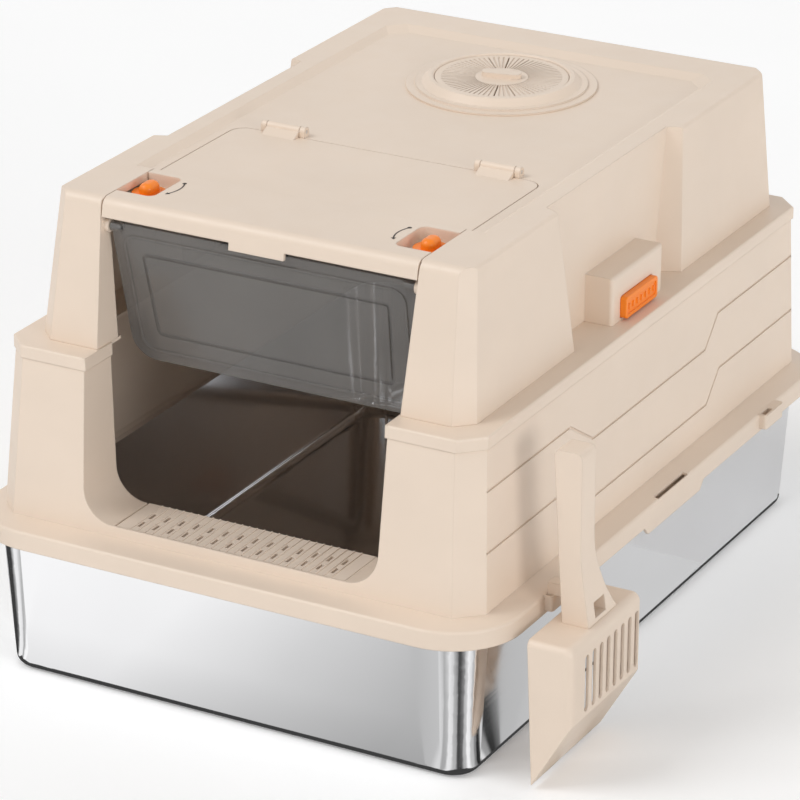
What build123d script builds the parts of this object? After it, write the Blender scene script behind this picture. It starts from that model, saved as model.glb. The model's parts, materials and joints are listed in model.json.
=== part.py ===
from build123d import *
import math
import os

# Covered litter box: a deep drawn steel pan, a moulded wall frame that sits over the pan's rim,
# a hood latched on the frame, a hinged roof flap, a swing door, a filter vent and a hanging scoop.
# Millimetres, +X to the right seen from the entry, +Y to the back, +Z up, origin under the pan's centre.

# Steel pan
pan_half_x = 198.0
pan_half_y = 286.1
pan_height = 118.0
pan_flare = 7.2
pan_corner_r = 21.0
pan_rim_corner_r = 27.0
pan_floor_r = 9.0
sheet = 0.8
rim_width = 11.0
rim_hem = 5.0
rim_corner_ease = 7.4

# Shared wall, clearances and cutting overrun
plastic_wall = 2.6
part_gap = 0.4
running_gap = 0.05
overrun = 12.0

# Wall frame over the rim
side_rim_gap = 5.2
end_rim_gap = 1.3
skirt_drop = 5.3
skirt_height = 15.0
flange_rise = 3.0
flange_corner_r = 56.0
flange_edge_r = 2.5
flange_inner_r = 30.0
flange_inner_margin = 1.0
side_wall_inset = 0.6
end_wall_inset = 5.5
wall_height = 132.9
wall_base_cut = 18.4
wall_top_cut = 17.0
side_wall_lean = 7.0
front_wall_lean = 13.1
lip_reach = 1.7
lip_height = 10.0
rib_offset = 4.0
rib_width = 2.2

# Ledge that carries the hood
ledge_side = 17.4
ledge_front = 19.4
ledge_rear = 12.0
ledge_inner_side = 49.0
ledge_inner_front = 52.0
ledge_inner_rear = 38.0

# Entry opening through frame and hood
entry_sill_rise = 8.3
entry_sill_edge = 74.0
entry_ledge_edge = 72.0
entry_top_edge = 41.2
entry_corner_r = 26.0
entry_return = 48.8
hood_return = 29.0

# Tread on the sill
tread_depth = 47.0
tread_thickness = 3.0
tread_end_gap = 1.0
tread_rib_height = 0.6
tread_rib_width = 1.2
tread_slot_pitch = 12.65
tread_slot_length = 9.5
tread_slot_width = 2.4
tread_slot_row_gap = 15.7
tread_slot_front = 12.0
shelf_rail = 6.5

# Panel lines on the frame's long walls
groove_width = 1.8
groove_depth = 1.2
groove_pitch = 46.0
groove_drop = 22.4
groove_rise = 91.3
groove_front_run = 157.8
groove_front_slope = 36.0
groove_rear_run = 158.8
groove_rear_slope = 25.0

# Snap tab, slot and scoop lugs on the skirt
tab_y = 5.0
tab_half = 46.0
tab_drop = 7.2
tab_slope = 7.0
slot_y = 3.5
slot_half = 26.5
slot_edge = 1.2
slot_width = 4.2
slot_depth = 8.0
lug_length = 33.0
lug_reach = 6.5
lug_rise = 3.0
lug_front_inset = 92.2
lug_rear_inset = 146.2
lug_notch_length = 14.0
lug_notch_width = 4.4
lug_notch_depth = 9.0
lug_notch_lead = 2.0

# Hood
hood_height = 112.6
hood_side_lean = 8.7
hood_front_lean = 19.0
hood_rear_lean = 8.9
hood_base_cut = 13.5
roof_cut = 10.0
roof_front_r = 8.0
hood_edge_r = 3.0
bay_depth = 11.7
bay_draft = 5.0
bay_y = 3.5
bay_base_half = 82.0
bay_top_half = 104.0

# Sunk roof panel
panel_rim_side = 26.0
panel_rim_front = 71.5
panel_rim_rear = 35.0
panel_depth = 4.0
panel_slope = 7.0
panel_rear_slope = 10.0
panel_cut = 13.0

# Roof flap
flap_length = 194.0
flap_gap = 0.8
flap_thickness = 3.0
flap_corner_r = 12.0
flap_lip = 14.2
finger_tab_half = 23.0
finger_tab_drop = 5.6
curb_drop = 14.0
seat_width = 8.0
seat_thickness = 2.2
seat_gap = 0.3

# Flap hinges
hinge_edge = 39.0
hinge_half = 14.2
hinge_r = 3.6
hinge_pin_r = 1.5
hinge_setback = 4.0
hinge_lift = 0.6
ear_width = 4.6

# Turn latches in the flap's front corners
latch_edge = 13.2
latch_front = 43.0
pocket_inner = 17.6
pocket_front = 24.0
pocket_rear = 20.0
pocket_depth = 10.4
pocket_wall = 2.4
pocket_corner_r = 6.0
knob_r = 13.2
knob_thickness = 3.2
knob_fin_length = 18.0
knob_fin_width = 12.0
knob_fin_rise = 11.2
knob_fin_r = 5.0
knob_fin_turn = 90.0
tongue_reach = 18.0
tongue_width = 9.0
latch_pin_r = 2.4
latch_pin_head_r = 5.0
latch_pin_head = 1.6
latch_slot_half = 15.5

# Side push latches
boss_y = 11.5
boss_half = 43.5
boss_height = 38.0
boss_reach = 23.2
boss_edge_r = 3.0
button_y = 9.5
button_half_y = 27.5
button_rise = 1.9
button_half_z = 8.7
button_proud = 5.0
button_corner_r = 3.0
button_edge_r = 0.8
button_middle_share = 0.5
button_border = 3.2
button_border_depth = 0.9
button_rib_count = 7
button_rib_width = 1.6
button_flange = 3.2
button_flange_margin = 2.6
button_travel = 4.0
hook_half = 16.0
hook_thickness = 3.0
hook_barb = 2.8
hook_barb_height = 4.0
hook_drop = 7.0
spring_r = 5.0
spring_wire = 0.9
spring_bore_depth = 6.0
guide_thickness = 2.2
guide_margin = 6.0
guide_post_length = 6.0

# Filter vent in the roof panel
vent_back = 91.0
vent_flange_r = 76.0
vent_step_r = 68.5
vent_dome_base_r = 63.5
vent_crest_r = 57.6
vent_mouth_r = 53.6
vent_neck_r = 57.6
vent_flange_h = 1.6
vent_step_h = 3.0
vent_crest_h = 8.4
vent_crest_round = 1.7
vent_seat_h = 4.4
vent_neck_drop = 12.0
lid_thickness = 2.6
lid_slot_count = 18
lid_grooves_per_slot = 4
lid_groove_inner_r = 21.0
lid_groove_length = 27.0
lid_groove_width = 1.2
lid_groove_depth = 0.6
lid_slot_edge = 0.2
lid_slot_turn = 10.0
lid_bar_length = 32.0
lid_bar_width = 11.0
lid_bar_rise = 4.0
lid_bar_turn = 12.0
lid_bar_end_share = 0.45
basket_seat = 6.0
basket_wall = 1.8
basket_slot_count = 9
basket_slot_width = 5.0
basket_slot_pitch = 10.0
carbon_margin = 1.0
carbon_thickness = 10.0

# Swing door
door_swing = 12.0
door_axis_back = 5.2
door_axis_drop = 8.4
door_top = 4.0
door_length = 113.0
door_thickness = 2.4
door_side_gap = 5.0
door_taper = 3.6
door_corner_r = 20.0
door_top_corner_r = 12.0
door_rib_r = 11.5
door_line_r = 5.0
door_rib_inset = 8.5
door_rib_width = 2.0
door_rib_height = 1.0
door_line_inset = 23.0
door_line_width = 2.4
door_line_depth = 1.2
door_knuckle_r = 4.0
door_knuckle_length = 9.0
door_pin_r = 1.8
door_boss_r = 5.2
door_boss_gap = 0.5

# Scoop hung on the front right lug
scoop_offset = 14.0
scoop_depth = 36.0
scoop_width = 114.0
scoop_lug_shift = 2.0
scoop_hang = 9.3
scoop_height = 114.9
scoop_bend_drop = 61.4
scoop_lip_inset = 5.0
scoop_wall = 2.2
scoop_edge_r = 5.0
scoop_top_r = 7.0
scoop_slot_count = 8
scoop_slot_width = 6.0
scoop_slot_pitch = 11.6
scoop_slot_length = 45.0
scoop_slot_drop = 12.9
scoop_slot_shift = 8.0
handle_length = 134.0
handle_front = 38.0
handle_width = 22.0
handle_foot_width = 46.0
handle_flare_width = 27.6
handle_flare_rise = 70.0
handle_flare_mid = 34.0
handle_waist_rise = 51.0
handle_foot_in = 8.6
handle_foot_out = 29.9
handle_waist_in = 5.0
handle_waist_out = 22.4
handle_tip_out = 21.9
handle_tip_r = 4.0
handle_window_front = 12.0
handle_window_width = 17.0
handle_window_height = 12.0
handle_window_rise = 3.4
hanger_half = 5.5
hanger_thickness = 3.4
hanger_drop = 8.0

# Places that follow from the sizes above
pan_top_half_x = pan_half_x + pan_flare
pan_top_half_y = pan_half_y + pan_flare
rim_half_x = pan_top_half_x + rim_width
rim_half_y = pan_top_half_y + rim_width
flange_half_x = rim_half_x + side_rim_gap + plastic_wall
flange_half_y = rim_half_y + end_rim_gap + plastic_wall
skirt_bottom = pan_height - skirt_drop
flange_edge_z = skirt_bottom + skirt_height
wall_base_z = flange_edge_z + flange_rise
ledge_z = wall_base_z + wall_height
roof_z = ledge_z + hood_height
panel_z = roof_z - panel_depth

wall_base_half_x = pan_top_half_x - side_wall_inset
wall_base_half_y = pan_top_half_y - end_wall_inset
wall_top_half_x = wall_base_half_x - side_wall_lean
wall_top_front = front_wall_lean - wall_base_half_y
ledge_half_x = wall_top_half_x + lip_reach
ledge_front_y = wall_top_front - lip_reach
ledge_rear_y = wall_base_half_y + lip_reach
ledge_hole_half_x = ledge_half_x - ledge_inner_side
ledge_hole_front = ledge_front_y + ledge_inner_front
ledge_hole_rear = ledge_rear_y - ledge_inner_rear

entry_sill_half = pan_half_x - entry_sill_edge
entry_ledge_half = ledge_half_x - entry_ledge_edge
tread_half = entry_sill_half - entry_corner_r - tread_end_gap
tread_slot_count = int(2 * tread_half / tread_slot_pitch) - 1

hood_base_half_x = ledge_half_x - ledge_side
hood_base_front = ledge_front_y + ledge_front
hood_base_rear = ledge_rear_y - ledge_rear
roof_half_x = hood_base_half_x - hood_side_lean
roof_front = hood_base_front + hood_front_lean
roof_rear = hood_base_rear - hood_rear_lean
bay_x = roof_half_x - bay_depth
entry_top_half = roof_half_x - entry_top_edge

panel_half_x = roof_half_x - panel_rim_side
panel_front = roof_front + panel_rim_front
panel_rear = roof_rear - panel_rim_rear
flap_half_x = entry_top_half - flap_gap
flap_rear = roof_front + flap_length
hinge_x = flap_half_x - hinge_edge
hinge_y = flap_rear + hinge_setback
hinge_z = panel_z + hinge_r + hinge_lift
latch_x = flap_half_x - latch_edge
latch_y = roof_front + latch_front
vent_y = panel_rear - vent_back
entry_sill_z = wall_base_z + entry_sill_rise
lining_rear = entry_return - wall_base_half_y

boss_x = bay_x + boss_reach
button_center_z = ledge_z + button_rise + button_half_z
door_axis_y = roof_front + door_axis_back
door_axis_z = roof_z - flap_lip - door_axis_drop + part_gap
lug_front_start = lug_front_inset - flange_half_y
lug_rear_start = flange_half_y - lug_rear_inset
scoop_y = lug_front_start + scoop_lug_shift
scoop_top = flange_edge_z - scoop_hang
scoop_lip_z = scoop_top - scoop_height
scoop_bend_z = scoop_top - scoop_bend_drop
scoop_inner_x = flange_half_x + scoop_offset
scoop_outer_x = scoop_inner_x + scoop_depth
scoop_front = scoop_y - scoop_width / 2
scoop_rear = scoop_y + scoop_width / 2
handle_top = scoop_top + handle_length
handle_y = scoop_front + handle_front


def block(x_low, x_high, y_low, y_high, z_low, z_high):
    """Block between two corners."""
    center = Pos((x_low + x_high) / 2, (y_low + y_high) / 2, (z_low + z_high) / 2)
    return center * Box(x_high - x_low, y_high - y_low, z_high - z_low)


def outline(points):
    """Flat face inside a closed polygon."""
    return make_face(Polyline(*points, close=True))


def along_x(face, x_low, x_high):
    """Push a (y, z) outline straight along X."""
    start = Plane(origin=(x_low, 0, 0), x_dir=(0, 1, 0), z_dir=(1, 0, 0))
    return extrude(start * face, amount=x_high - x_low)


def along_y(face, y_low, y_high):
    """Push an (x, z) outline straight along Y."""
    start = Plane(origin=(0, y_high, 0), x_dir=(1, 0, 0), z_dir=(0, -1, 0))
    return extrude(start * face, amount=y_high - y_low)


def along_z(face, z_low, z_high):
    """Push an (x, y) outline straight up."""
    return extrude(Pos(0, 0, z_low) * face, amount=z_high - z_low)


def upright(radius, x, y, z_low, z_high):
    """Upright cylinder between two levels."""
    return along_z(Pos(x, y) * Circle(radius), z_low, z_high)


def crosswise(radius, y, z, x_low, x_high):
    """Cylinder that lies along X."""
    return along_x(Pos(y, z) * Circle(radius), x_low, x_high)


def both_sides(shape):
    """A shape and its mirror image across the middle plane."""
    return shape + mirror(shape, about=Plane.YZ)


def cut_corner_rectangle(half_x, front, rear, cut):
    """Rectangle in plan with its four corners cut off."""
    return outline([
        (half_x, front + cut), (half_x, rear - cut), (half_x - cut, rear), (cut - half_x, rear),
        (-half_x, rear - cut), (-half_x, front + cut), (cut - half_x, front), (half_x - cut, front),
    ])


def rear_cut_rectangle(half_x, front, rear, cut):
    """Rectangle in plan with only its rear corners cut off."""
    return outline([
        (half_x, front), (half_x, rear - cut), (half_x - cut, rear), (cut - half_x, rear), (-half_x, rear - cut),
        (-half_x, front),
    ])


def between(low, high, share):
    """Value part of the way from low to high."""
    return low + (high - low) * share


def steel_pan():
    """Deep drawn pan with leaning walls, a rounded floor edge and a hemmed rim."""
    def tub(inset, z_low, floor_r):
        lean = pan_flare * z_low / pan_height
        low = RectangleRounded(2 * (pan_half_x + lean - inset), 2 * (pan_half_y + lean - inset), pan_corner_r - inset)
        high = RectangleRounded(2 * (pan_top_half_x - inset), 2 * (pan_top_half_y - inset), pan_rim_corner_r - inset)
        body = loft([Pos(0, 0, z_low) * low, Pos(0, 0, pan_height) * high], ruled=True)
        return fillet(body.faces().sort_by(Axis.Z)[0].edges(), floor_r)

    rim_corner = flange_corner_r - plastic_wall - rim_corner_ease
    rim_outer = RectangleRounded(2 * rim_half_x, 2 * rim_half_y, rim_corner)
    hem_inner = RectangleRounded(2 * (rim_half_x - sheet), 2 * (rim_half_y - sheet), rim_corner - sheet)
    rim = along_z(rim_outer, pan_height - sheet, pan_height)
    hem = along_z(rim_outer - hem_inner, pan_height - rim_hem, pan_height)
    return tub(0, 0, pan_floor_r) + rim + hem - tub(sheet, sheet, pan_floor_r - sheet)


def wall_solid(inset, z_low, z_high):
    """Solid inside the frame's four leaning walls, between two levels."""
    def section(z):
        share = (z - wall_base_z) / wall_height
        half_x = between(wall_base_half_x, wall_top_half_x, share) - inset
        front = between(-wall_base_half_y, wall_top_front, share) + inset
        cut = between(wall_base_cut, wall_top_cut, share)
        return Pos(0, 0, z) * cut_corner_rectangle(half_x, front, wall_base_half_y - inset, cut)

    return loft([section(z_low), section(z_high)], ruled=True)


def entry_outline(grow, z_high):
    """Entry opening seen from the front, enlarged all round by grow."""
    share = (z_high - ledge_z) / (roof_z - flap_lip - ledge_z)
    half_high = between(entry_ledge_half, entry_top_half, share) + grow
    sill = entry_sill_z - grow
    face = outline([
        (entry_sill_half + grow, sill), (entry_ledge_half + grow, ledge_z), (half_high, z_high),
        (-half_high, z_high), (-entry_ledge_half - grow, ledge_z), (-entry_sill_half - grow, sill),
    ])
    corners = face.vertices().group_by(Axis.Y)[0]
    return fillet(corners, entry_corner_r + grow)


def frame_grooves():
    """Stepped panel lines along both long walls."""
    skin = wall_solid(0, wall_base_z, ledge_z) - wall_solid(groove_depth, wall_base_z, ledge_z)
    front_turn = groove_front_run - wall_base_half_y
    rear_turn = wall_base_half_y - groove_rear_run
    lines = []
    for row in range(2):
        high = wall_base_z + groove_rise - row * groove_pitch
        low = high - groove_drop
        share = (high - wall_base_z) / wall_height
        cut = between(wall_base_cut, wall_top_cut, share)
        front_end = between(-wall_base_half_y, wall_top_front, share) + cut
        path = Polyline(
            (front_end, high), (front_turn, high), (front_turn + groove_front_slope, low),
            (rear_turn - groove_rear_slope, low), (rear_turn, high), (wall_base_half_y - cut, high),
        )
        lines.append(along_x(trace(path, groove_width), wall_top_half_x - overrun, wall_base_half_x + overrun))
    return both_sides(skin & (lines[0] + lines[1]))


def scoop_lug(y_start):
    """Lug on the right skirt, with a notch in its top for the scoop's hanger."""
    body = block(flange_half_x - plastic_wall, flange_half_x + lug_reach, y_start, y_start + lug_length,
                 skirt_bottom + lug_rise, flange_edge_z)
    edges = body.edges().filter_by(Axis.Z).group_by(Axis.X)[-1]
    return fillet(edges, plastic_wall)


def lug_notch(y_start):
    """Pocket in a lug's top."""
    notch_y = y_start + lug_notch_lead
    return block(flange_half_x, flange_half_x + lug_notch_width, notch_y, notch_y + lug_notch_length,
                 flange_edge_z - lug_notch_depth, flange_edge_z + overrun)


def snap_tab():
    """Deeper stretch of skirt in the middle of the long side."""
    bottom = skirt_bottom - tab_drop
    face = outline([
        (tab_y - tab_half - tab_slope, skirt_bottom), (tab_y - tab_half, bottom), (tab_y + tab_half, bottom),
        (tab_y + tab_half + tab_slope, skirt_bottom), (tab_y + tab_half + tab_slope, flange_edge_z - plastic_wall),
        (tab_y - tab_half - tab_slope, flange_edge_z - plastic_wall),
    ])
    return along_x(face, flange_half_x - plastic_wall, flange_half_x)


def hook_slot():
    """Slot in the ledge that a push latch's hook passes through and moves in."""
    outer = boss_x - plastic_wall + part_gap
    inner = outer - hook_thickness - button_travel - 2 * part_gap
    return block(inner, outer, button_y - hook_half - part_gap, button_y + hook_half + part_gap,
                 ledge_z - plastic_wall - part_gap, ledge_z + overrun)


def lower_frame():
    """Wall frame: skirt and flange over the pan's rim, leaning walls, ledge, entry and scoop lugs."""
    skirt = RectangleRounded(2 * flange_half_x, 2 * flange_half_y, flange_corner_r)
    shoulder = RectangleRounded(
        2 * (wall_base_half_x + flange_inner_margin), 2 * (wall_base_half_y + flange_inner_margin), flange_inner_r)
    under_skirt = RectangleRounded(
        2 * (flange_half_x - plastic_wall), 2 * (flange_half_y - plastic_wall), flange_corner_r - plastic_wall)
    crown = RectangleRounded(
        2 * (flange_half_x - flange_edge_r), 2 * (flange_half_y - flange_edge_r), flange_corner_r - flange_edge_r)
    flange = along_z(skirt, skirt_bottom, flange_edge_z)
    flange = fillet(flange.faces().sort_by(Axis.Z)[-1].edges(), flange_edge_r)
    flange += loft([Pos(0, 0, flange_edge_z) * crown, Pos(0, 0, wall_base_z) * shoulder], ruled=True)
    flange -= along_z(under_skirt, skirt_bottom, flange_edge_z - plastic_wall)
    flange -= loft([Pos(0, 0, flange_edge_z - plastic_wall) * under_skirt,
                    Pos(0, 0, wall_base_z - plastic_wall) * shoulder], ruled=True)

    rib_half_x = pan_top_half_x + rib_offset
    rib_half_y = pan_top_half_y + rib_offset
    rib_r = pan_rim_corner_r + rib_offset
    rib_outer = RectangleRounded(2 * (rib_half_x + rib_width), 2 * (rib_half_y + rib_width), rib_r + rib_width)
    rib = along_z(rib_outer - RectangleRounded(2 * rib_half_x, 2 * rib_half_y, rib_r), pan_height, flange_edge_z)

    walls = wall_solid(0, wall_base_z - plastic_wall, ledge_z)
    lip = along_z(cut_corner_rectangle(ledge_half_x, ledge_front_y, ledge_rear_y, wall_top_cut),
                  ledge_z - lip_height, ledge_z)
    lip = fillet(lip.faces().sort_by(Axis.Z)[-1].edges(), lip_reach)
    cavity = wall_solid(plastic_wall, wall_base_z - plastic_wall, ledge_z - plastic_wall)
    ledge_hole = along_z(cut_corner_rectangle(ledge_hole_half_x, ledge_hole_front, ledge_hole_rear, wall_top_cut),
                         ledge_z - overrun, ledge_z + overrun)

    entry_rear = ledge_front_y + ledge_inner_front + overrun
    entry = along_y(entry_outline(0, ledge_z + overrun), -flange_half_y - overrun, entry_rear)
    lining = along_y(entry_outline(plastic_wall, ledge_z + overrun), -wall_base_half_y - overrun, lining_rear)
    shelf_top = entry_sill_z - tread_thickness
    shelf = block(-entry_sill_half, entry_sill_half, -wall_base_half_y, lining_rear,
                  shelf_top - plastic_wall, shelf_top)
    window_half = tread_half - shelf_rail
    shelf_window = block(-window_half, window_half, tread_front() + shelf_rail, lining_rear - shelf_rail,
                         shelf_top - overrun, shelf_top)
    collar = entry_outline(0, ledge_z + overrun) - entry_outline(-lip_reach, ledge_z + overrun)
    collar = along_y(collar, ledge_front_y, lining_rear) & block(
        -ledge_half_x, ledge_half_x, ledge_front_y, lining_rear, ledge_z - lip_height, ledge_z)
    tread_well = block(entry_corner_r - entry_sill_half, entry_sill_half - entry_corner_r,
                       tread_front() - part_gap, lining_rear + overrun, shelf_top, entry_sill_z + overrun)

    body = flange + rib + walls + lip - cavity - ledge_hole
    body += (lining + shelf) & walls
    body -= entry + tread_well + shelf_window
    body += collar
    body += both_sides(snap_tab())
    for y_start in (lug_front_start, lug_rear_start):
        body += both_sides(scoop_lug(y_start))
        body -= both_sides(lug_notch(y_start))
    slot_outer = flange_half_x - slot_edge
    slot = block(slot_outer - slot_width, slot_outer, slot_y - slot_half, slot_y + slot_half,
                 flange_edge_z - slot_depth, wall_base_z)
    return body - both_sides(slot + hook_slot()) - frame_grooves()


def tread_front():
    """Back face of the front wall at sill height, where the tread starts."""
    share = (entry_sill_z - wall_base_z) / wall_height
    return between(-wall_base_half_y, wall_top_front, share) + plastic_wall


def entry_tread():
    """Ribbed step plate with two rows of litter slots."""
    front = tread_front()
    plate = block(-tread_half, tread_half, front, front + tread_depth,
                  entry_sill_z - tread_thickness, entry_sill_z - tread_rib_height)
    rib_pitch = tread_slot_pitch / 2
    for index in range(2 * tread_slot_count):
        rib_x = (index - tread_slot_count) * rib_pitch + rib_pitch / 2
        plate += block(rib_x - tread_rib_width / 2, rib_x + tread_rib_width / 2, front, front + tread_depth,
                       entry_sill_z - tread_thickness, entry_sill_z)
    row_y = front + tread_slot_front
    spots = GridLocations(tread_slot_pitch, tread_slot_row_gap, tread_slot_count, 2)
    slots = Sketch() + [spot * Rectangle(tread_slot_width, tread_slot_length) for spot in spots]
    tool = along_z(slots, entry_sill_z - overrun, entry_sill_z + overrun)
    return plate - Pos(0, row_y + tread_slot_row_gap / 2, 0) * tool


def hood_solid(inset, z_low, z_high):
    """Solid inside the hood's leaning walls, between two levels."""
    def section(z):
        share = (z - ledge_z) / hood_height
        half_x = between(hood_base_half_x, roof_half_x, share) - inset
        front = between(hood_base_front, roof_front, share) + inset
        rear = between(hood_base_rear, roof_rear, share) - inset
        return Pos(0, 0, z) * cut_corner_rectangle(half_x, front, rear, between(hood_base_cut, roof_cut, share))

    return loft([section(z_low), section(z_high)], ruled=True)


def side_bay(grow):
    """Hollow in the hood's right side that holds the push latch."""
    def section(x):
        reach = grow + bay_draft * (x - bay_x) / bay_depth
        face = outline([
            (bay_y - bay_base_half - reach, ledge_z - overrun), (bay_y + bay_base_half + reach, ledge_z - overrun),
            (bay_y + bay_top_half + reach, roof_z + overrun), (bay_y - bay_top_half - reach, roof_z + overrun),
        ])
        return Plane(origin=(x, 0, 0), x_dir=(0, 1, 0), z_dir=(1, 0, 0)) * face

    return loft([section(bay_x - grow), section(hood_base_half_x + overrun)], ruled=True)


def roof_panel():
    """Sunk panel of the roof, with sloping sides."""
    low = rear_cut_rectangle(panel_half_x - panel_slope, panel_front + panel_slope, panel_rear - panel_rear_slope,
                             panel_cut)
    high = rear_cut_rectangle(panel_half_x, panel_front, panel_rear, panel_cut)
    return loft([Pos(0, 0, panel_z) * low, Pos(0, 0, roof_z) * high], ruled=True)


def flap_opening(grow, front):
    """Roof flap in plan, with its rear corners rounded."""
    half = flap_half_x + grow
    rear = flap_rear + grow
    face = outline([(-half, front), (half, front), (half, rear), (-half, rear)])
    return fillet(face.vertices().group_by(Axis.Y)[-1], flap_corner_r + grow)


def flap_curbs():
    """Walls under the roof along the flap's edges, with the seat that the flap rests on."""
    top = panel_z - flap_thickness - seat_gap
    wall_front = roof_front + plastic_wall
    seat_front = panel_front + 2 * panel_slope
    ring = flap_opening(flap_gap + plastic_wall, wall_front)
    curb = along_z(ring - flap_opening(flap_gap, wall_front), top - seat_thickness, panel_z)
    deep = block(-entry_top_half - plastic_wall, entry_top_half + plastic_wall, wall_front, panel_front,
                 roof_z - curb_drop, roof_z)
    deep -= block(-entry_top_half, entry_top_half, wall_front, panel_front, roof_z - curb_drop, roof_z)
    seat = flap_opening(flap_gap + plastic_wall, seat_front) - flap_opening(flap_gap - seat_width, seat_front)
    return curb + deep + along_z(seat, top - seat_thickness, top)


def hinge_ears():
    """Ears of one flap hinge, left standing on the roof panel."""
    ears = []
    for low in (hinge_x - hinge_half - part_gap - ear_width, hinge_x + hinge_half + part_gap):
        high = low + ear_width
        foot = block(low, high, hinge_y - hinge_r, hinge_y + hinge_r, panel_z - plastic_wall, hinge_z)
        ears.append(foot + crosswise(hinge_r, hinge_y, hinge_z, low, high))
    return ears[0] + ears[1]


def latch_boss():
    """Box on the hood's side that houses the push button."""
    body = block(bay_x - plastic_wall, boss_x, boss_y - boss_half, boss_y + boss_half,
                 ledge_z, ledge_z + boss_height)
    return fillet(body.faces().sort_by(Axis.X)[-1].edges().sort_by(Axis.Z)[1:], boss_edge_r)


def boss_room():
    """Space inside the latch boss, open to the hood and to the ledge below."""
    return block(bay_x - plastic_wall - overrun, boss_x - plastic_wall, boss_y - boss_half + plastic_wall,
                 boss_y + boss_half - plastic_wall, ledge_z, ledge_z + boss_height - plastic_wall)


def button_hole():
    """Opening in the boss's outer face for the button."""
    face = RectangleRounded(2 * (button_half_y + part_gap), 2 * (button_half_z + part_gap), button_corner_r)
    return along_x(Pos(button_y, button_center_z) * face, boss_x - plastic_wall, boss_x + overrun)


def hood_shell():
    """Hood with open front, sunk roof panel, flap opening, vent hole, side bays and latch bosses."""
    outer = hood_solid(0, ledge_z, roof_z)
    roof_edges = outer.faces().sort_by(Axis.Z)[-1].edges().sort_by(Axis.Y)
    outer = fillet(roof_edges[0], roof_front_r)
    side_edges = outer.faces().sort_by(Axis.Z)[-1].edges().filter_by(Axis.Y)
    outer = fillet(side_edges, hood_edge_r)
    cavity = hood_solid(plastic_wall, ledge_z, panel_z - plastic_wall) - both_sides(side_bay(plastic_wall))
    posts_rear = hood_base_front + hood_return
    entry = along_y(entry_outline(0, roof_z + overrun), hood_base_front - overrun, posts_rear)
    posts = along_y(entry_outline(plastic_wall, roof_z), hood_base_front - overrun, posts_rear) & outer
    flap_cut = along_z(flap_opening(flap_gap, hood_base_front - overrun), panel_z - overrun, roof_z + overrun)
    deep_cut = block(-entry_top_half, entry_top_half, hood_base_front - overrun, panel_front,
                     roof_z - flap_lip, roof_z + overrun)

    body = outer - cavity - both_sides(side_bay(0)) - roof_panel()
    body += posts
    body -= entry
    body += both_sides(latch_boss())
    body -= both_sides(boss_room() + button_hole())
    body -= flap_cut + deep_cut
    body += flap_curbs() & outer
    body -= upright(vent_neck_r + part_gap, 0, vent_y, panel_z - overrun, roof_z)
    body += both_sides(hinge_ears() + door_boss())
    body -= both_sides(hinge_pin() + door_pin())
    return body - both_sides(latch_slot())


def latch_slot():
    """Slot in the curb that the turn latch's tongue enters."""
    high = roof_z - pocket_depth + knob_thickness + 2 * part_gap
    return block(entry_top_half - part_gap, entry_top_half + plastic_wall + part_gap,
                 latch_y - latch_slot_half, latch_y + latch_slot_half, roof_z - pocket_depth - part_gap, high)


def flap_profile():
    """Side section of the roof flap: front lip, flat front, slope down to the sunk rear."""
    lip_z = roof_z - flap_lip
    lean = hood_front_lean / hood_height
    lip_y = roof_front - flap_lip * lean
    under_z = roof_z - flap_thickness
    foot = panel_front + panel_slope
    face = outline([
        (lip_y, lip_z), (roof_front, roof_z), (panel_front, roof_z), (foot, panel_z), (flap_rear, panel_z),
        (flap_rear, panel_z - flap_thickness), (foot, panel_z - flap_thickness), (panel_front, under_z),
        (roof_front + flap_thickness, under_z), (lip_y + flap_thickness, lip_z),
    ])
    nose = face.vertices().sort_by_distance((roof_front, roof_z))[0]
    return fillet(nose, roof_front_r)


def finger_tab():
    """Tab under the middle of the flap's front lip."""
    lean = hood_front_lean / hood_height
    high_y = roof_front - flap_lip * lean
    low_y = high_y - finger_tab_drop * lean
    lip_z = roof_z - flap_lip
    face = outline([
        (low_y, lip_z - finger_tab_drop), (high_y, lip_z), (high_y + flap_thickness, lip_z),
        (low_y + flap_thickness, lip_z - finger_tab_drop),
    ])
    return along_x(face, -finger_tab_half, finger_tab_half)


def latch_pocket(grow, z_low, z_high):
    """Corner pocket of the flap in plan, open to the flap's edge."""
    inner = latch_x - pocket_inner - grow
    face = outline([
        (inner, latch_y - pocket_front - grow), (flap_half_x + overrun, latch_y - pocket_front - grow),
        (flap_half_x + overrun, latch_y + pocket_rear + grow), (inner, latch_y + pocket_rear + grow),
    ])
    rounded = fillet(face.vertices().group_by(Axis.X)[0], pocket_corner_r + grow)
    return along_z(rounded, z_low, z_high)


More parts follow.
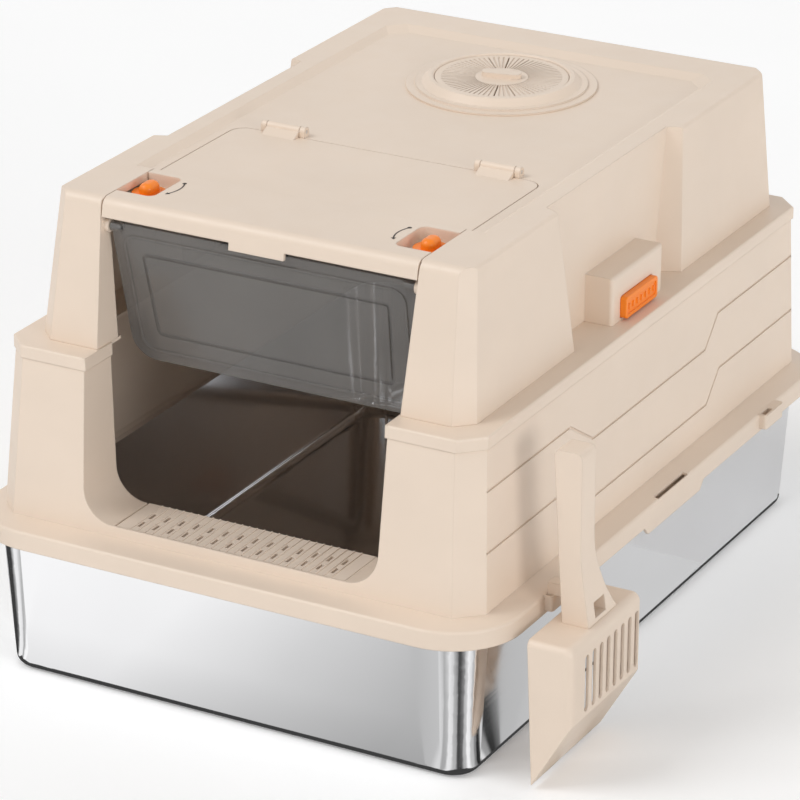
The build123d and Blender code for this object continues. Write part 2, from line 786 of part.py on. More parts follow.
def roof_flap():
    """Hinged front half of the roof, with latch pockets and hinge barrels."""
    plate = along_x(flap_profile(), -flap_half_x, flap_half_x)
    plate &= along_z(flap_opening(0, hood_base_front - overrun), panel_z - overrun, roof_z + overrun) + block(
        -flap_half_x, flap_half_x, hood_base_front, panel_front, roof_z - curb_drop - overrun, roof_z)
    floor_z = roof_z - pocket_depth
    inside = block(0, flap_half_x, hood_base_front, flap_rear, floor_z - overrun, roof_z)
    cup = latch_pocket(pocket_wall, floor_z - pocket_wall, roof_z - flap_thickness) & inside
    plate += finger_tab() + both_sides(cup)
    plate -= both_sides(latch_pocket(0, floor_z, roof_z + overrun) + latch_pin())
    web_low = panel_z + seat_gap
    web_front = flap_rear - 2 * hinge_setback
    web_face = outline([
        (web_front, panel_z - flap_thickness), (flap_rear, panel_z - flap_thickness), (flap_rear, web_low),
        (hinge_y, web_low), (hinge_y, hinge_z), (hinge_y - hinge_r, hinge_z), (web_front, panel_z),
    ])
    web = along_x(web_face, hinge_x - hinge_half, hinge_x + hinge_half)
    barrel = crosswise(hinge_r, hinge_y, hinge_z, hinge_x - hinge_half, hinge_x + hinge_half)
    bore = crosswise(hinge_pin_r + running_gap, hinge_y, hinge_z, hinge_x - hinge_half, hinge_x + hinge_half)
    return plate + both_sides(web + barrel) - both_sides(bore)


def hinge_pin():
    """Steel pin of one flap hinge."""
    reach = hinge_half + part_gap + ear_width
    return crosswise(hinge_pin_r, hinge_y, hinge_z, hinge_x - reach, hinge_x + reach)


def latch_pin():
    """Rivet that holds the turn latch to its pocket floor."""
    floor_z = roof_z - pocket_depth
    head = upright(latch_pin_head_r, latch_x, latch_y, floor_z - pocket_wall - latch_pin_head, floor_z - pocket_wall)
    return head + upright(latch_pin_r, latch_x, latch_y, floor_z - pocket_wall, floor_z + knob_thickness)


def flap_latch():
    """Turn latch: round plate with a locking tongue and a thumb fin."""
    low = roof_z - pocket_depth + part_gap
    high = low + knob_thickness
    plate = upright(knob_r, latch_x, latch_y, low, high)
    tongue = block(latch_x - tongue_width / 2, latch_x + tongue_width / 2, latch_y - tongue_reach, latch_y, low, high)
    fin = along_z(SlotOverall(knob_fin_length, knob_fin_width), low, low + knob_fin_rise)
    fin = fillet(fin.faces().sort_by(Axis.Z)[-1].edges(), knob_fin_r)
    fin = Pos(latch_x, latch_y, 0) * Rot(0, 0, knob_fin_turn) * fin
    hole = upright(latch_pin_r + running_gap, latch_x, latch_y, low - part_gap, high + part_gap - running_gap)
    return plate + tongue + fin - hole


def push_button():
    """Push button with its inner flange and the hook that grips under the ledge."""
    seat_x = boss_x - plastic_wall - running_gap
    face_x = boss_x + button_proud
    cap_face = RectangleRounded(2 * button_half_y, 2 * button_half_z, button_corner_r)
    cap = along_x(Pos(button_y, button_center_z) * cap_face, seat_x - button_flange, face_x)
    cap = fillet(cap.faces().sort_by(Axis.X)[-1].edges(), button_edge_r)
    well = RectangleRounded(2 * (button_half_y - button_border), 2 * (button_half_z - button_border),
                            button_corner_r - button_border_depth)
    cap -= along_x(Pos(button_y, button_center_z) * well, face_x - button_border_depth, face_x)
    rib_room = 2 * (button_half_y - 2 * button_border)
    rib_half_z = button_half_z - 2 * button_border
    for index in range(button_rib_count):
        rib_y = button_y + rib_room * (index / (button_rib_count - 1) - button_middle_share)
        cap += block(face_x - button_border_depth, face_x, rib_y - button_rib_width / 2, rib_y + button_rib_width / 2,
                     button_center_z - rib_half_z, button_center_z + rib_half_z)
    margin_y = button_half_y + button_flange_margin
    margin_z = button_half_z + button_flange_margin
    flange = block(seat_x - button_flange, seat_x, button_y - margin_y, button_y + margin_y,
                   button_center_z - button_half_z, button_center_z + margin_z)
    stem = block(seat_x - hook_thickness, seat_x, button_y - hook_half, button_y + hook_half,
                 ledge_z - plastic_wall - hook_drop, button_center_z)
    barb_top = ledge_z - plastic_wall - part_gap
    barb_face = [(seat_x, barb_top), (seat_x + hook_barb, barb_top), (seat_x, barb_top - hook_barb_height)]
    barb = along_y(outline(barb_face), button_y - hook_half, button_y + hook_half)
    bore_start = seat_x - button_flange
    bore = crosswise(spring_r + part_gap, button_y, button_center_z, bore_start, bore_start + spring_bore_depth)
    return cap + flange + stem + barb - bore


def spring_span():
    """Ends of the button spring along X."""
    low = bay_x - plastic_wall
    bore_start = boss_x - plastic_wall - running_gap - button_flange
    return low, bore_start + spring_bore_depth - button_travel - part_gap


def button_spring():
    """Return spring behind the button at its pressed length, as a sleeve."""
    low, high = spring_span()
    ring = Circle(spring_r) - Circle(spring_r - spring_wire)
    return along_x(Pos(button_y, button_center_z) * ring, low, high)


def button_guide():
    """Back plate of the latch boss with the post that centres the spring."""
    low = spring_span()[0]
    plate = block(low - guide_thickness, low, boss_y - boss_half - guide_margin, boss_y + boss_half + guide_margin,
                  ledge_z + plastic_wall, ledge_z + boss_height + guide_margin)
    post_r = spring_r - spring_wire - part_gap
    return plate + crosswise(post_r, button_y, button_center_z, low, low + guide_post_length)


def filter_housing():
    """Round vent housing on the roof panel: stepped flange, domed collar and neck."""
    base = panel_z
    lip_z = base - vent_neck_drop + plastic_wall
    face = outline([
        (vent_neck_r, base), (vent_flange_r, base), (vent_flange_r, base + vent_flange_h),
        (vent_step_r, base + vent_flange_h), (vent_step_r, base + vent_step_h),
        (vent_dome_base_r, base + vent_step_h), (vent_crest_r, base + vent_crest_h),
        (vent_mouth_r, base + vent_crest_h), (vent_mouth_r, base + vent_seat_h),
        (vent_mouth_r - plastic_wall, base + vent_seat_h), (vent_mouth_r - plastic_wall, base),
        (vent_neck_r - plastic_wall, base - plastic_wall), (vent_neck_r - plastic_wall, lip_z),
        (basket_r() - basket_seat, lip_z), (basket_r() - basket_seat, base - vent_neck_drop),
        (vent_neck_r, base - vent_neck_drop),
    ])
    face = fillet(face.vertices().group_by(Axis.Y)[-1], vent_crest_round)
    return Pos(0, vent_y, 0) * revolve(Plane.XZ * face, Axis.Z)


def basket_r():
    """Outer radius of the filter basket, free inside the lid's seat."""
    return vent_mouth_r - plastic_wall - part_gap


def filter_lid():
    """Vent lid with fine rays of grooves, some cut through as slots, and a turning bar."""
    low = panel_z + vent_seat_h
    high = low + lid_thickness
    floor = high - lid_groove_depth
    middle = Pos(lid_groove_inner_r + lid_groove_length / 2, 0)
    groove = middle * Rectangle(lid_groove_length, lid_groove_width)
    slot = middle * Rectangle(lid_groove_length - 2 * lid_slot_edge, lid_groove_width - 2 * lid_slot_edge)
    disc = Circle(vent_mouth_r - part_gap)
    grooves = Sketch() + [spot * groove for spot in PolarLocations(0, lid_slot_count * lid_grooves_per_slot)]
    slots = Sketch() + [spot * slot for spot in PolarLocations(0, lid_slot_count, lid_slot_turn)]
    plate = along_z(disc, low, high) - along_z(grooves, floor, high + overrun)
    plate -= along_z(slots, low - overrun, floor + overrun)
    bar = fillet(Rectangle(lid_bar_length, lid_bar_width).vertices(), lid_bar_width * lid_bar_end_share)
    bar = Rot(0, 0, lid_bar_turn) * bar
    return Pos(0, vent_y, 0) * (plate + along_z(bar, low, high + lid_bar_rise))


def filter_basket():
    """Cup below the lid that carries the carbon pad, with a slotted floor."""
    top = panel_z + vent_seat_h - part_gap
    outer_r = basket_r()
    floor = panel_z - vent_neck_drop + plastic_wall
    cup = upright(outer_r, 0, 0, floor, top) - upright(outer_r - basket_wall, 0, 0, floor + basket_wall, top)
    slots = Sketch()
    for index in range(basket_slot_count):
        x = (index - (basket_slot_count - 1) / 2) * basket_slot_pitch
        length = 2 * math.sqrt((outer_r - basket_slot_pitch) ** 2 - x ** 2)
        slots += Pos(x, 0) * Rectangle(basket_slot_width, length)
    return Pos(0, vent_y, 0) * (cup - along_z(slots, floor - overrun, floor + basket_wall))


def carbon_filter():
    """Round carbon pad in the basket."""
    low = panel_z - vent_neck_drop + plastic_wall + basket_wall
    radius = basket_r() - basket_wall - carbon_margin
    return upright(radius, 0, vent_y, low, low + carbon_thickness)


def door_outline(inset, low_r, high_r):
    """Door panel seen from the front, about its pivot line."""
    half_top = entry_top_half - door_side_gap - inset
    half_low = half_top - door_taper
    low = inset - door_length
    high = door_top - inset
    face = outline([(-half_low, low), (half_low, low), (half_top, high), (-half_top, high)])
    face = fillet(face.vertices().group_by(Axis.Y)[0], low_r)
    return fillet(face.vertices().group_by(Axis.Y)[-1], high_r)


def door_place(shape):
    """Move a shape modelled about the pivot line to the door's swung-in place."""
    return Pos(0, door_axis_y, door_axis_z) * Rot(door_swing, 0, 0) * shape


def entry_door():
    """Smoked swing door with a raised border rib and a sunk inner line."""
    front = -door_thickness / 2
    back = door_thickness / 2
    panel = along_y(door_outline(0, door_corner_r, door_top_corner_r), front, back)
    rib_inner_r = door_rib_r - door_rib_width
    rib = door_outline(door_rib_inset, door_rib_r, door_rib_r)
    rib -= door_outline(door_rib_inset + door_rib_width, rib_inner_r, rib_inner_r)
    panel += along_y(rib, front - door_rib_height, front)
    line_inner_r = door_line_r - door_line_width
    line = door_outline(door_line_inset, door_line_r, door_line_r)
    line -= door_outline(door_line_inset + door_line_width, line_inner_r, line_inner_r)
    panel -= along_y(line, front, front + door_line_depth)
    outer = entry_top_half - door_side_gap
    inner = outer - door_knuckle_length
    for side in (-1, 1):
        low, high = sorted((side * inner, side * (outer - part_gap)))
        panel += crosswise(door_knuckle_r, 0, 0, low, high)
    for side in (-1, 1):
        low, high = sorted((side * (inner - part_gap), side * (outer + part_gap)))
        panel -= crosswise(door_pin_r + running_gap, 0, 0, low, high)
    return door_place(panel)


def door_boss():
    """Boss on the post's inner face for the door's pivot pin."""
    low = entry_top_half - door_side_gap + door_boss_gap
    return crosswise(door_boss_r, door_axis_y, door_axis_z, low, entry_top_half + plastic_wall / 2)


def door_pin():
    """Pivot pin of the door."""
    outer = entry_top_half + plastic_wall
    inner = entry_top_half - door_side_gap - door_knuckle_length
    return crosswise(door_pin_r, door_axis_y, door_axis_z, inner, outer)


def scoop_tray():
    """Scoop body: open towards the box, slotted floor outwards, ramp to the lip at the bottom."""
    def section(inset, open_inset):
        face = outline([
            (scoop_inner_x - open_inset, scoop_top - inset), (scoop_outer_x - inset, scoop_top - inset),
            (scoop_outer_x - inset, scoop_bend_z), (scoop_inner_x + scoop_lip_inset - open_inset, scoop_lip_z),
        ])
        top_corner = face.vertices().group_by(Axis.X)[-1].sort_by(Axis.Y)[-1]
        return fillet(top_corner, scoop_top_r - inset)

    body = along_y(section(0, 0), scoop_front, scoop_rear)
    edges = body.edges().filter_by(Axis.Z).group_by(Axis.X)[-1]
    body = fillet(edges, scoop_edge_r)
    room = along_y(section(scoop_wall, scoop_wall), scoop_front + scoop_wall, scoop_rear - scoop_wall)
    room = fillet(room.edges().filter_by(Axis.Z).group_by(Axis.X)[-1], scoop_edge_r - scoop_wall)
    slot_z = scoop_top - scoop_slot_drop - scoop_slot_length / 2
    spots = GridLocations(scoop_slot_pitch, 0, scoop_slot_count, 1)
    slot = SlotOverall(scoop_slot_length, scoop_slot_width, rotation=90)
    slots = Sketch() + [Pos(scoop_y + scoop_slot_shift, slot_z) * spot * slot for spot in spots]
    return body - room - along_x(slots, scoop_outer_x - scoop_edge_r, scoop_outer_x + overrun)


def scoop_handle():
    """Upright handle with a flared foot, a through window and the hanger hook."""
    waist_z = scoop_top + handle_waist_rise
    side = outline([
        (scoop_inner_x + handle_foot_in, scoop_top), (scoop_inner_x + handle_foot_out, scoop_top),
        (scoop_inner_x + handle_waist_out, waist_z), (scoop_inner_x + handle_tip_out, handle_top),
        (scoop_inner_x, handle_top), (scoop_inner_x + handle_waist_in, waist_z),
    ])
    side = fillet(side.vertices().group_by(Axis.Y)[-1], handle_tip_r)
    side = fillet(side.vertices().group_by(Axis.Y)[1], handle_length)
    flare_z = scoop_top + handle_flare_rise
    rear = handle_y + handle_width
    foot_rear = handle_y + handle_foot_width
    flare = ThreePointArc(
        (foot_rear, scoop_top), (handle_y + handle_flare_width, scoop_top + handle_flare_mid), (rear, flare_z))
    front_view = make_face([
        Line((handle_y, scoop_top), (foot_rear, scoop_top)), flare, Line((rear, flare_z), (rear, handle_top)),
        Line((rear, handle_top), (handle_y, handle_top)), Line((handle_y, handle_top), (handle_y, scoop_top)),
    ])
    body = along_y(side, handle_y, foot_rear)
    body &= along_x(front_view, scoop_inner_x - overrun, scoop_outer_x + overrun)
    window_low = scoop_top + handle_window_rise
    window_front = handle_y + handle_window_front
    window_top = window_low + handle_window_height
    window = block(scoop_inner_x - overrun, scoop_outer_x + overrun, window_front, window_front + handle_window_width,
                   window_low, window_top)
    notch_y = lug_front_start + lug_notch_lead + lug_notch_length / 2
    drop_x = flange_half_x + (lug_notch_width - hanger_thickness) / 2
    arm = block(drop_x, scoop_inner_x + handle_foot_in + hanger_thickness, notch_y - hanger_half, notch_y + hanger_half,
                flange_edge_z, window_top + hanger_thickness)
    drop = block(drop_x, drop_x + hanger_thickness, notch_y - hanger_half, notch_y + hanger_half,
                 flange_edge_z - hanger_drop, flange_edge_z)
    return body - window + arm + drop


def sided(shape, right):
    """The right-hand piece, or its mirror image for the left."""
    return shape if right else mirror(shape, about=Plane.YZ)


pieces = {
    "steel_pan": steel_pan(),
    "lower_frame": lower_frame(),
    "entry_tread": entry_tread(),
    "hood_shell": hood_shell(),
    "roof_flap": roof_flap(),
    "filter_housing": filter_housing(),
    "filter_basket": filter_basket(),
    "carbon_filter": carbon_filter(),
    "filter_lid": filter_lid(),
    "entry_door": entry_door(),
    "scoop_tray": scoop_tray(),
    "scoop_handle": scoop_handle(),
}
paired_pieces = {
    "flap_hinge_pin": hinge_pin,
    "flap_latch": flap_latch,
    "flap_latch_rivet": latch_pin,
    "push_button": push_button,
    "button_spring": button_spring,
    "button_guide": button_guide,
    "door_pin": door_pin,
}
for name, make in paired_pieces.items():
    pieces[name + "_right"] = sided(make(), True)
    pieces[name + "_left"] = sided(make(), False)

os.makedirs("parts", exist_ok=True)
for name, shape in pieces.items():
    export_step(shape, os.path.join("parts", name + ".step"))
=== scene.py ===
import json
import math
import bpy
from mathutils import Matrix, Vector


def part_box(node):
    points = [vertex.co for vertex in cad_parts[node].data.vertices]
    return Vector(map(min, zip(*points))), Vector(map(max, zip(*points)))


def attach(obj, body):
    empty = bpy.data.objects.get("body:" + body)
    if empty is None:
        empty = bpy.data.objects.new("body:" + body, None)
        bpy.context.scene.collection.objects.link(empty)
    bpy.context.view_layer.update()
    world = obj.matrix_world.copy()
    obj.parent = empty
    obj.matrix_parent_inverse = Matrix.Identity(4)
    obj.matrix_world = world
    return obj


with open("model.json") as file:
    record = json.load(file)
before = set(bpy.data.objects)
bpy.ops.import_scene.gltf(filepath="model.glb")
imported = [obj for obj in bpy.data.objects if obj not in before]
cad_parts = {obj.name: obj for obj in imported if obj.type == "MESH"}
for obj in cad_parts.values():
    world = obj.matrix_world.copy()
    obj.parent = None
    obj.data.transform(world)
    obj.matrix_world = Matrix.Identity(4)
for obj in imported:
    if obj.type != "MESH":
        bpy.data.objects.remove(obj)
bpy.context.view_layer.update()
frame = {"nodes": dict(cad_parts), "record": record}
nodes = frame["nodes"]
scene = bpy.context.scene
scene.view_settings.view_transform = "Standard"

# Camera fitted to the photograph's perspective: angles in degrees, place in metres, focal length in pixels
camera_azimuth, camera_elevation, camera_roll = 28.5746, 23.0467, 0.1958
camera_place = (1.42038, -2.63162, 1.42640)
camera_focal, picture_width = 4144.38, 800.0
sensor_width = 36.0
camera_reach = 50.0


def towards(heading, height):
    """Direction to a compass heading from the front and a height above the floor, in degrees."""
    heading, height = math.radians(heading), math.radians(height)
    level = math.cos(height)
    return Vector((math.sin(heading) * level, -math.cos(heading) * level, math.sin(height)))


back = towards(camera_azimuth, camera_elevation)
right = Vector((0, 0, 1)).cross(back).normalized()
up = back.cross(right)
turn = Matrix((right, up, back)).transposed().to_4x4() @ Matrix.Rotation(math.radians(camera_roll), 4, "Z")
camera = bpy.data.objects.new("camera", bpy.data.cameras.new("camera"))
camera.data.sensor_width = sensor_width
camera.data.lens = sensor_width * camera_focal / picture_width
camera.data.clip_end = camera_reach
camera.matrix_world = Matrix.Translation(camera_place) @ turn
scene.collection.objects.link(camera)
scene.camera = camera

# Materials: a noise carries most of its values between these two levels
noise_low, noise_high = 0.3, 0.7


class Shade:
    """A material's node tree, with short calls for the nodes used here."""

    def __init__(self, name):
        self.mat = bpy.data.materials.new(name)
        self.mat.use_nodes = True
        self.tree = self.mat.node_tree
        self.shader = self.tree.nodes["Principled BSDF"]
        self.surface = self.tree.nodes["Material Output"].inputs["Surface"]
        self.place = self.add("ShaderNodeTexCoord").outputs["Object"]

    def add(self, kind, **values):
        node = self.tree.nodes.new(kind)
        for key, value in values.items():
            setattr(node, key, value)
        return node

    def link(self, out, into):
        self.tree.links.new(out, into)

    def noise(self, scale, detail=2.0, stretch=(1, 1, 1), roughness=0.5):
        mapping = self.add("ShaderNodeMapping")
        mapping.inputs["Scale"].default_value = stretch
        self.link(self.place, mapping.inputs["Vector"])
        noise = self.add("ShaderNodeTexNoise")
        noise.inputs["Scale"].default_value = scale
        noise.inputs["Detail"].default_value = detail
        noise.inputs["Roughness"].default_value = roughness
        self.link(mapping.outputs["Vector"], noise.inputs["Vector"])
        return noise.outputs["Fac"]

    def gloss(self, fac, low, high):
        """Roughness between two levels, by a noise."""
        span = self.add("ShaderNodeMapRange")
        span.inputs["From Min"].default_value = noise_low
        span.inputs["From Max"].default_value = noise_high
        span.inputs["To Min"].default_value = low
        span.inputs["To Max"].default_value = high
        self.link(fac, span.inputs["Value"])
        self.link(span.outputs["Result"], self.shader.inputs["Roughness"])

    def colors(self, fac, low, high):
        """Base colour between two colours, by a noise."""
        ramp = self.add("ShaderNodeValToRGB")
        for stop, position, color in zip(ramp.color_ramp.elements, (noise_low, noise_high), (low, high)):
            stop.position = position
            stop.color = (*color, 1)
        self.link(fac, ramp.inputs["Fac"])
        self.link(ramp.outputs["Color"], self.shader.inputs["Base Color"])

    def relief(self, fac, depth, edge):
        """Fine bump of a depth in metres, over edges rounded by a radius where one is given."""
        bump = self.add("ShaderNodeBump")
        bump.inputs["Strength"].default_value = 1.0
        bump.inputs["Distance"].default_value = depth
        self.link(fac, bump.inputs["Height"])
        if edge:
            bevel = self.add("ShaderNodeBevel", samples=6)
            bevel.inputs["Radius"].default_value = edge
            self.link(bevel.outputs["Normal"], bump.inputs["Normal"])
        self.link(bump.outputs["Normal"], self.shader.inputs["Normal"])

    def set(self, **values):
        for key, value in values.items():
            self.shader.inputs[key].default_value = value
        return self.mat


def scaled(color, factor):
    return tuple(min(1.0, part * factor) for part in color)


def moulded(name, color, rough, grain, edge):
    """Moulded plastic: faint flow clouding, fine spark texture, gloss that varies a little."""
    shade = Shade(name)
    shade.colors(shade.noise(9.0, 3.0, stretch=(1, 1, 1.6)), scaled(color, 0.975), scaled(color, 1.025))
    shade.gloss(shade.noise(55.0, 4.0), rough - 0.05, rough + 0.06)
    shade.relief(shade.noise(1500.0, 2.0), grain, edge)
    return shade.set(IOR=1.48)


def drawn_metal(name, color, rough, stretch, depth):
    """Rolled or drawn metal: long fine lines in gloss and relief, faint clouding."""
    shade = Shade(name)
    shade.colors(shade.noise(4.0, 3.0), scaled(color, 0.97), scaled(color, 1.03))
    lines = shade.noise(160.0, 3.0, stretch, roughness=0.6)
    shade.gloss(lines, rough * 0.8, rough * 1.25)
    shade.relief(lines, depth, 0)
    return shade.set(Metallic=1.0)


def smoked(name):
    """Tinted clear plastic: see-through, glossy, with faint moulding waves."""
    shade = Shade(name)
    shade.colors(shade.noise(14.0, 3.0), (0.196, 0.186, 0.177), (0.222, 0.212, 0.202))
    shade.gloss(shade.noise(70.0, 3.0), 0.12, 0.2)
    shade.relief(shade.noise(30.0, 2.0), 0.00006, 0.0005)
    return shade.set(Alpha=0.58, IOR=1.5)


def felted(name):
    """Activated carbon pad: fibrous black felt with coarse grains."""
    shade = Shade(name)
    cells = shade.add("ShaderNodeTexVoronoi")
    cells.inputs["Scale"].default_value = 420.0
    shade.link(shade.place, cells.inputs["Vector"])
    shade.colors(shade.noise(300.0, 5.0), (0.018, 0.018, 0.019), (0.060, 0.060, 0.062))
    shade.relief(cells.outputs["Distance"], 0.0006, 0)
    return shade.set(Roughness=0.95)


def printed(name):
    """Dark pad printing with slightly uneven ink."""
    shade = Shade(name)
    shade.colors(shade.noise(900.0, 3.0), (0.050, 0.038, 0.030), (0.085, 0.066, 0.052))
    shade.gloss(shade.noise(400.0, 2.0), 0.5, 0.62)
    return shade.mat


by_slot = {
    "cream_plastic": moulded(
        "cream_plastic", (0.800, 0.665, 0.545), rough=0.42, grain=0.000012, edge=0.0012),
    # The tread's colour is set lighter than the cream to make up for the shade in the entry: painted light.
    "tread_plastic": moulded(
        "tread_plastic", (0.840, 0.712, 0.596), rough=0.46, grain=0.000016, edge=0.0004),
    "orange_plastic": moulded(
        "orange_plastic", (1.000, 0.250, 0.010), rough=0.32, grain=0.000006, edge=0.0007),
    "pan_steel": drawn_metal(
        "pan_steel", (0.93, 0.93, 0.94), rough=0.10, stretch=(0.02, 0.02, 3.0), depth=0.0000012),
    "pin_steel": drawn_metal(
        "pin_steel", (0.66, 0.66, 0.67), rough=0.28, stretch=(0.05, 4.0, 4.0), depth=0.000004),
    "smoked_plastic": smoked("smoked_plastic"),
    "carbon_pad": felted("carbon_pad"),
}
for entry in frame["record"]["subparts"]:
    obj = nodes[entry["node"]]
    obj.data.materials.clear()
    obj.data.materials.append(by_slot[entry["material_slot"]])

# Printed turn marks beside the two roof latches
mark_x, mark_y = 0.1172, -0.1955
mark_radius, mark_half_width = 0.0258, 0.0006
mark_start, mark_end, mark_steps = 152, 208, 18
dot_radius, dot_points = 0.0017, 12
arrow_radius, arrow_points = 0.0024, 3
roof_over_hood_base, ink_lift = 0.1126, 0.00012
mark_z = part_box("hood_shell")[0][2] + roof_over_hood_base + ink_lift


def mesh_object(name, verts, faces, mat):
    mesh = bpy.data.meshes.new(name)
    mesh.from_pydata(verts, [], faces)
    mesh.materials.append(mat)
    obj = bpy.data.objects.new(name, mesh)
    scene.collection.objects.link(obj)
    return obj


def on_circle(x, y, radius, angle):
    return x + radius * math.cos(angle), y + radius * math.sin(angle)


def turn_mark(name, side):
    """Flat printed arc with a round dot and an arrow head, on the flap's top."""
    points, faces = [], []
    for step in range(mark_steps + 1):
        angle = math.radians(mark_start + (mark_end - mark_start) * step / mark_steps)
        for reach in (mark_radius - mark_half_width, mark_radius + mark_half_width):
            points.append(on_circle(mark_x, mark_y, reach, angle))
    for low in range(0, 2 * mark_steps, 2):
        faces.append((low, low + 1, low + 3, low + 2))
    dot = (mark_start, dot_radius, dot_points, math.pi)
    arrow = (mark_end, arrow_radius, arrow_points, math.pi / 2)
    for heading, radius, count, lead in (dot, arrow):
        angle = math.radians(heading)
        x, y = on_circle(mark_x, mark_y, mark_radius, angle)
        faces.append(tuple(range(len(points), len(points) + count)))
        for index in range(count):
            points.append(on_circle(x, y, radius, angle + lead + 2 * math.pi * index / count))
    obj = mesh_object(name, [(side * x, y, mark_z) for x, y in points], faces, print_ink)
    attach(obj, "flap")


print_ink = printed("pad_print")
turn_mark("turn_mark_right", 1)
turn_mark("turn_mark_left", -1)

# Floor, world and lamps. The sky lights the object less than camera, mirror and see-through rays show it.
floor_size = 14.0
floor_glow = 0.145
sky_light, sky_seen = 0.58, 0.94


def floor_paint(name):
    """Pale paint that looks a little lighter to the camera than it lights the object."""
    shade = Shade(name)
    shade.colors(shade.noise(3.0, 2.0), (0.900, 0.900, 0.900), (0.915, 0.915, 0.915))
    shade.set(Roughness=0.7)
    glow = shade.add("ShaderNodeEmission")
    ray = shade.add("ShaderNodeLightPath")
    seen = shade.add("ShaderNodeMath", operation="MULTIPLY")
    seen.inputs[1].default_value = floor_glow
    both = shade.add("ShaderNodeAddShader")
    shade.link(ray.outputs["Is Camera Ray"], seen.inputs[0])
    shade.link(seen.outputs["Value"], glow.inputs["Strength"])
    shade.link(shade.shader.outputs["BSDF"], both.inputs[0])
    shade.link(glow.outputs["Emission"], both.inputs[1])
    shade.link(both.outputs["Shader"], shade.surface)
    return shade.mat


bpy.ops.mesh.primitive_plane_add(size=floor_size)
floor = bpy.context.object
floor.name = "floor"
floor.data.materials.append(floor_paint("floor_paint"))

world = bpy.data.worlds.new("studio")
scene.world = world
world.use_nodes = True
sky = world.node_tree
background = sky.nodes["Background"]
background.inputs["Color"].default_value = (1, 1, 1, 1)
rays = sky.nodes.new("ShaderNodeLightPath")
shown = rays.outputs["Is Camera Ray"]
for kind in ("Is Glossy Ray", "Is Transmission Ray"):
    either = sky.nodes.new("ShaderNodeMath")
    either.operation = "MAXIMUM"
    sky.links.new(shown, either.inputs[0])
    sky.links.new(rays.outputs[kind], either.inputs[1])
    shown = either.outputs["Value"]
level = sky.nodes.new("ShaderNodeMapRange")
level.inputs["To Min"].default_value = sky_light
level.inputs["To Max"].default_value = sky_seen
sky.links.new(shown, level.inputs["Value"])
sky.links.new(level.outputs["Result"], background.inputs["Strength"])


def lamp(name, heading, height, softness, strength):
    """Broad far lamp that shines from a heading and height, in degrees."""
    light = bpy.data.lights.new(name, "SUN")
    light.angle = math.radians(softness)
    light.energy = strength
    obj = bpy.data.objects.new(name, light)
    obj.rotation_euler = towards(heading, height).to_track_quat("Z", "Y").to_euler()
    scene.collection.objects.link(obj)


lamp("key", heading=-46, height=48, softness=32, strength=1.12)
lamp("side", heading=66, height=9, softness=22, strength=0.86)

# Painted reflections: glowing cards on the floor, seen only in reflections and set for those in the steel.
# They lie lower than the pan's sheet is thick, so none shows inside the pan.
foot_x, foot_y = 0.198, 0.2861
front_z, corner_z, foot_z = 0.0003, 0.0004, 0.0005
painted_reflection_corner_fades = ((0.02, 0.0), (0.25, 0.0), (0.3, 0.3), (0.4, 1.0))


def card(name, rings):
    """Strip of faces between rings of (place, tone) pairs, glowing by tone to paint a reflection."""
    verts = [place for ring in rings for place, tone in ring]
    tones = [tone for ring in rings for place, tone in ring]
    width = len(rings[0])
    faces = []
    for row in range(len(rings) - 1):
        for index in range(width - 1):
            near = row * width + index
            faces.append((near, near + 1, near + width + 1, near + width))
    obj = mesh_object(name, verts, faces, painted_reflection_glow)
    tone_layer = obj.data.color_attributes.new("tone", "FLOAT_COLOR", "POINT")
    for item, tone in zip(tone_layer.data, tones):
        item.color = (tone, tone, tone, 1)
    obj.visible_camera = obj.visible_diffuse = obj.visible_shadow = obj.visible_transmission = False


def glowing(name):
    """Plain glow, in the tone that a card's points carry, that paints reflections."""
    shade = Shade(name)
    tone = shade.add("ShaderNodeAttribute", attribute_name="tone")
    glow = shade.add("ShaderNodeEmission")
    shade.link(tone.outputs["Color"], glow.inputs["Color"])
    shade.link(glow.outputs["Emission"], shade.surface)
    return shade.mat


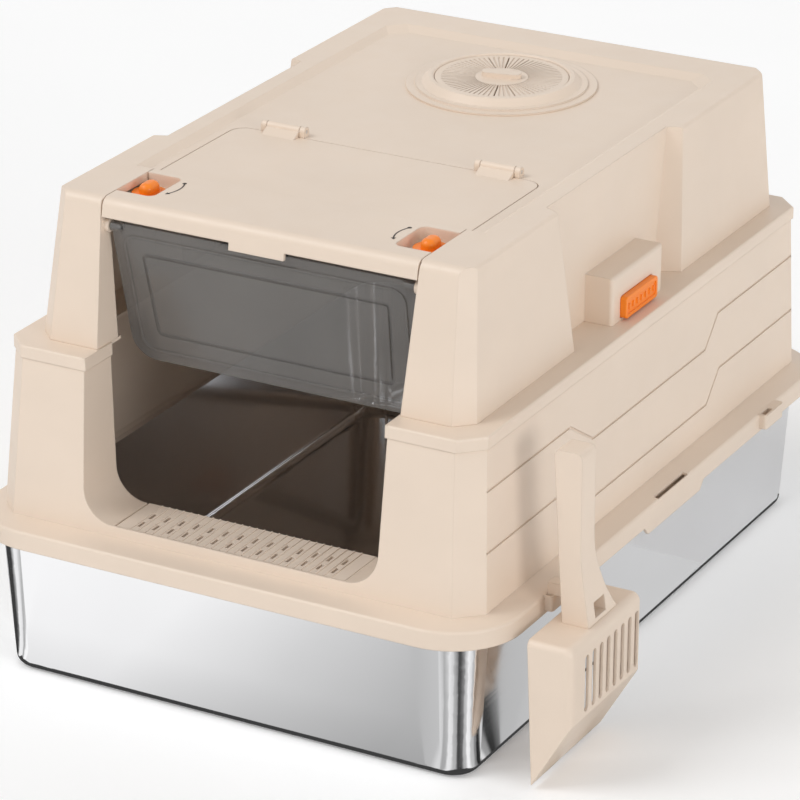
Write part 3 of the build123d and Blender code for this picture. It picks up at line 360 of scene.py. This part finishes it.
def painted_reflection_corner(name, x, y, floor_tone, stops):
    """Fan of painted bright and dark reflection streaks around a corner of the pan, which fade out to the
    floor's tone.
    """
    rings = []
    for reach, fade in painted_reflection_corner_fades:
        ring = []
        for heading, tone in stops:
            angle = math.radians(heading)
            place = (x + reach * math.sin(angle), y - reach * math.cos(angle), corner_z)
            ring.append((place, tone + (floor_tone - tone) * fade))
        rings.append(ring)
    card(name, rings)


painted_reflection_glow = glowing("painted_reflection_glow")
# Painted reflection of the floor in the pan's front face: light at the left, darker towards the right
painted_reflection_front_tones = ((-0.9, 1.0), (-0.3, 1.0), (-0.12, 0.96), (0.0, 0.68), (0.12, 0.48), (0.3, 0.42))
painted_reflection_front_steps = ((0.0, 0.84), (0.06, 0.98), (0.14, 1.0), (0.9, 1.0))
card("painted_reflection_front", [
    [((x, -foot_y - reach, front_z), tone * near) for x, tone in painted_reflection_front_tones] for reach, near in painted_reflection_front_steps
])

corner_inset = 0.02
corner_x, corner_y = foot_x - corner_inset, corner_inset - foot_y
painted_reflection_corner("painted_reflection_corner_front_right", corner_x, corner_y, floor_tone=0.63, stops=(
    (-32, 0.50), (-18, 0.72), (-7, 0.40), (9, 0.85), (25, 0.50), (38, 0.06), (46, 0.08), (58, 0.45),
    (69, 0.95), (84, 0.55), (98, 0.25), (108, 0.02), (116, 0.03), (125, 0.75), (133, 0.35), (141, 0.03),
    (147, 0.1), (151, 0.5), (160, 0.54), (168, 0.58), (176, 0.62)))
painted_reflection_corner("painted_reflection_corner_front_left", -corner_x, corner_y, floor_tone=0.84, stops=(
    (-150, 0.2), (-128, 0.75), (-112, 0.05), (-78, 0.04), (-62, 0.9), (-50, 0.9), (-42, 0.4), (-34, 1.0),
    (-26, 1.0)))

# Painted reflection of shade: a dark line around the pan's foot
painted_foot_shade_tone = 0.05
painted_foot_shade_rings = []
for reach in (-0.014, 0.004):
    half_x, half_y = foot_x + reach, foot_y + reach
    corners = [(-half_x, -half_y), (half_x, -half_y), (half_x, half_y), (-half_x, half_y)]
    painted_foot_shade_rings.append([((x, y, foot_z), painted_foot_shade_tone) for x, y in corners + corners[:1]])
card("painted_foot_shade_reflection", painted_foot_shade_rings)
